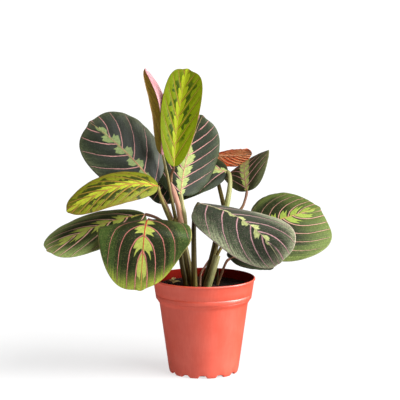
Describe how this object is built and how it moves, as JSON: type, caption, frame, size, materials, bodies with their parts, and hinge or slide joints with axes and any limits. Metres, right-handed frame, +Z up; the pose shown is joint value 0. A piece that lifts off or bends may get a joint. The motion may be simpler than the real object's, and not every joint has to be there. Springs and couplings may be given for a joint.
{
  "type": "potted prayer plant",
  "caption": "Prayer plant with patterned oval leaves on slender stalks, in a round flared nursery pot with a rim band, soil and drain notches.",
  "frame": {"origin": "centre of the pot's flat underside, on the surface it stands on", "axes": "+Z up along the pot's axis, -Y towards the side that the largest leaves face, +X to that side's right"},
  "size_m": [0.3384, 0.199, 0.3589],
  "materials": {
    "pot_plastic": "satin terracotta-coloured plastic",
    "potting_soil": "dark moist potting soil",
    "leaf_mature": "satin dark green leaf with pink veins and a light green feather band",
    "leaf_young": "satin yellow-green young leaf with dark blotches",
    "leaf_rolled": "pink underside of a rolled young leaf",
    "leaf_aged": "red-brown underside of an old leaf",
    "stalk_dark": "dark brown-olive stalk",
    "stalk_olive": "olive stalk",
    "stalk_red": "red-brown stalk",
    "sheath_pale": "pale green sheath",
    "sheath_pink": "pink sheath",
    "dry_litter": "dry leaf fragments"
  },
  "bodies": {
    "root": {"pot": "pot_plastic", "soil": "potting_soil", "leaf_upper_left_blade": "leaf_mature", "leaf_middle_left_blade": "leaf_young", "leaf_lower_left_blade": "leaf_mature", "leaf_front_left_blade": "leaf_mature", "leaf_top_blade": "leaf_young", "leaf_rolled_blade": "leaf_rolled", "leaf_centre_blade": "leaf_mature", "leaf_back_centre_blade": "leaf_mature", "leaf_back_right_blade": "leaf_aged", "leaf_small_right_blade": "leaf_mature", "leaf_front_right_blade": "leaf_mature", "leaf_right_blade": "leaf_mature", "leaf_lower_right_blade": "leaf_mature", "stem_left": "stalk_olive", "stem_right": "stalk_dark", "leaf_front_right_petiole": "stalk_dark", "sheath_right": "sheath_pale", "leaf_lower_right_petiole": "stalk_red", "bract": "sheath_pink", "stub": "stalk_dark", "sheath_left_dark": "stalk_dark", "leaf_right_petiole": "stalk_dark", "sheath_left_pink": "sheath_pink", "leaf_top_petiole": "stalk_red", "leaf_centre_petiole": "sheath_pale", "leaf_rolled_petiole": "stalk_olive", "leaf_middle_left_petiole": "stalk_red", "leaf_upper_left_petiole": "stalk_red", "leaf_lower_left_petiole": "stalk_red", "leaf_front_left_petiole": "stalk_red", "leaf_back_centre_petiole": "sheath_pale", "leaf_back_right_petiole": "stalk_dark", "leaf_small_right_petiole": "stalk_red", "litter_front": "dry_litter", "litter_middle": "dry_litter", "litter_back": "dry_litter"}
  },
  "joints": []
}
